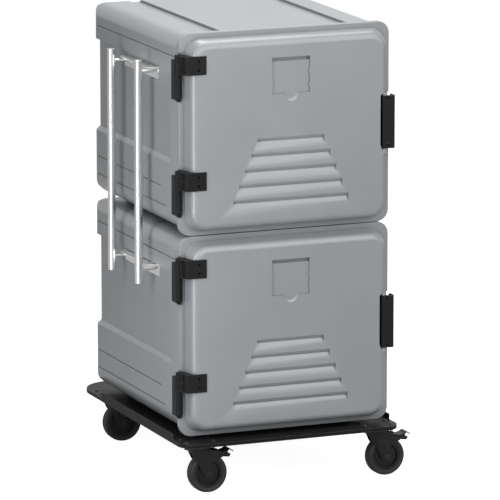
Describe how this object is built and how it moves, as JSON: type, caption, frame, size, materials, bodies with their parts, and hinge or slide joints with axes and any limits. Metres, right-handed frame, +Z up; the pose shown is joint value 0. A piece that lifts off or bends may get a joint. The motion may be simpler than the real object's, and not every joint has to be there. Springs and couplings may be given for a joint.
{
  "type": "enclosed meal tray cart",
  "caption": "Upright meal tray cart: two insulated containers with hinged grooved doors and edge latches, stacked on a wheeled deck, with an upright push handle on one side.",
  "frame": {"origin": "centre of the cart's outer box, on the floor", "axes": "+X along the doors' width towards the latches, +Y from the doors to the back, +Z up"},
  "size_m": [0.841, 0.956, 1.46],
  "materials": {
    "casing_plastic": "fine satin moulded grey",
    "liner_plastic": "smooth moulded grey",
    "foam": "rigid insulating foam",
    "seal_rubber": "soft black gasket",
    "black_plastic": "fine-grained black",
    "steel": "plain zinc-plated",
    "stainless": "brushed along its length",
    "deck_black": "black with a fine grain",
    "castor_black": "moulded black",
    "black_steel": "black coated",
    "tyre_rubber": "dark solid rubber"
  },
  "bodies": {
    "root": {"lower_casing": "casing_plastic", "lower_casing_foam": "foam", "lower_casing_liner": "liner_plastic", "lower_hinge_brackets": "black_plastic", "lower_hinge_bracket_screws": "black_steel", "lower_hinge_pins": "black_steel", "lower_latch_keeper": "black_plastic", "upper_casing": "casing_plastic", "upper_casing_foam": "foam", "upper_casing_liner": "liner_plastic", "upper_hinge_brackets": "black_plastic", "upper_hinge_bracket_screws": "black_steel", "upper_hinge_pins": "black_steel", "upper_latch_keeper": "black_plastic", "dolly_deck": "deck_black", "castor_plates": "black_steel", "castor_bolts": "black_steel", "push_bar_front": "stainless", "push_bar_rear": "stainless", "handle_bracket_lower": "stainless", "handle_bracket_upper": "stainless", "handle_bolts": "stainless"},
    "lower_door": {"lower_door_shell": "casing_plastic", "lower_door_foam": "foam", "lower_door_liner": "liner_plastic", "lower_door_seal": "seal_rubber", "lower_hinge_leaves": "black_plastic", "lower_hinge_leaf_screws": "black_steel", "lower_latch_base": "black_plastic", "lower_latch_pin": "steel"},
    "lower_latch": {"lower_latch_lever": "black_plastic"},
    "upper_door": {"upper_door_shell": "casing_plastic", "upper_door_foam": "foam", "upper_door_liner": "liner_plastic", "upper_door_seal": "seal_rubber", "upper_hinge_leaves": "black_plastic", "upper_hinge_leaf_screws": "black_steel", "upper_latch_base": "black_plastic", "upper_latch_pin": "steel"},
    "upper_latch": {"upper_latch_lever": "black_plastic"},
    "castor_front_left": {"castor_fork_front_left": "castor_black", "castor_axle_front_left": "black_steel"},
    "wheel_front_left": {"castor_wheel_front_left": "castor_black", "castor_tyre_front_left": "tyre_rubber"},
    "pedal_front_left": {"brake_pedal_front_left": "castor_black"},
    "castor_front_right": {"castor_fork_front_right": "castor_black", "castor_axle_front_right": "black_steel"},
    "wheel_front_right": {"castor_wheel_front_right": "castor_black", "castor_tyre_front_right": "tyre_rubber"},
    "pedal_front_right": {"brake_pedal_front_right": "castor_black"},
    "castor_rear_left": {"castor_fork_rear_left": "castor_black", "castor_axle_rear_left": "black_steel"},
    "wheel_rear_left": {"castor_wheel_rear_left": "castor_black", "castor_tyre_rear_left": "tyre_rubber"},
    "castor_rear_right": {"castor_fork_rear_right": "castor_black", "castor_axle_rear_right": "black_steel"},
    "wheel_rear_right": {"castor_wheel_rear_right": "castor_black", "castor_tyre_rear_right": "tyre_rubber"}
  },
  "joints": [
    {"name": "lower_door_hinge", "type": "hinge", "parent": "root", "child": "lower_door", "pos_m": [-0.36, -0.405, 0.498], "axis": [0, 0, -1], "range_deg": [0, 180]},
    {"name": "lower_latch_pivot", "type": "hinge", "parent": "lower_door", "child": "lower_latch", "pos_m": [0.321, -0.447, 0.505], "axis": [0, 0, -1], "range_deg": [0, 70]},
    {"name": "upper_door_hinge", "type": "hinge", "parent": "root", "child": "upper_door", "pos_m": [-0.36, -0.405, 1.14], "axis": [0, 0, -1], "range_deg": [0, 180]},
    {"name": "upper_latch_pivot", "type": "hinge", "parent": "upper_door", "child": "upper_latch", "pos_m": [0.321, -0.447, 1.147], "axis": [0, 0, -1], "range_deg": [0, 70]},
    {"name": "swivel_front_left", "type": "hinge", "parent": "root", "child": "castor_front_left", "pos_m": [-0.305, -0.42, 0.14], "axis": [0, 0, 1], "continuous": true},
    {"name": "roll_front_left", "type": "hinge", "parent": "castor_front_left", "child": "wheel_front_left", "pos_m": [-0.272, -0.42, 0.0625], "axis": [0, 1, 0], "continuous": true},
    {"name": "brake_front_left", "type": "hinge", "parent": "castor_front_left", "child": "pedal_front_left", "pos_m": [-0.234, -0.42, 0.121], "axis": [0, 1, 0], "range_deg": [0, 12], "stiffness_Nm_per_rad": 0.4, "springref_deg": -2.86},
    {"name": "swivel_front_right", "type": "hinge", "parent": "root", "child": "castor_front_right", "pos_m": [0.305, -0.42, 0.14], "axis": [0, 0, 1], "continuous": true},
    {"name": "roll_front_right", "type": "hinge", "parent": "castor_front_right", "child": "wheel_front_right", "pos_m": [0.338, -0.42, 0.0625], "axis": [0, 1, 0], "continuous": true},
    {"name": "brake_front_right", "type": "hinge", "parent": "castor_front_right", "child": "pedal_front_right", "pos_m": [0.376, -0.42, 0.121], "axis": [0, 1, 0], "range_deg": [0, 12], "stiffness_Nm_per_rad": 0.4, "springref_deg": -2.86},
    {"name": "swivel_rear_left", "type": "hinge", "parent": "root", "child": "castor_rear_left", "pos_m": [-0.305, 0.331, 0.14], "axis": [0, 0, 1], "continuous": true},
    {"name": "roll_rear_left", "type": "hinge", "parent": "castor_rear_left", "child": "wheel_rear_left", "pos_m": [-0.272, 0.331, 0.0625], "axis": [0, 1, 0], "continuous": true},
    {"name": "swivel_rear_right", "type": "hinge", "parent": "root", "child": "castor_rear_right", "pos_m": [0.305, 0.331, 0.14], "axis": [0, 0, 1], "continuous": true},
    {"name": "roll_rear_right", "type": "hinge", "parent": "castor_rear_right", "child": "wheel_rear_right", "pos_m": [0.338, 0.331, 0.0625], "axis": [0, 1, 0], "continuous": true}
  ]
}
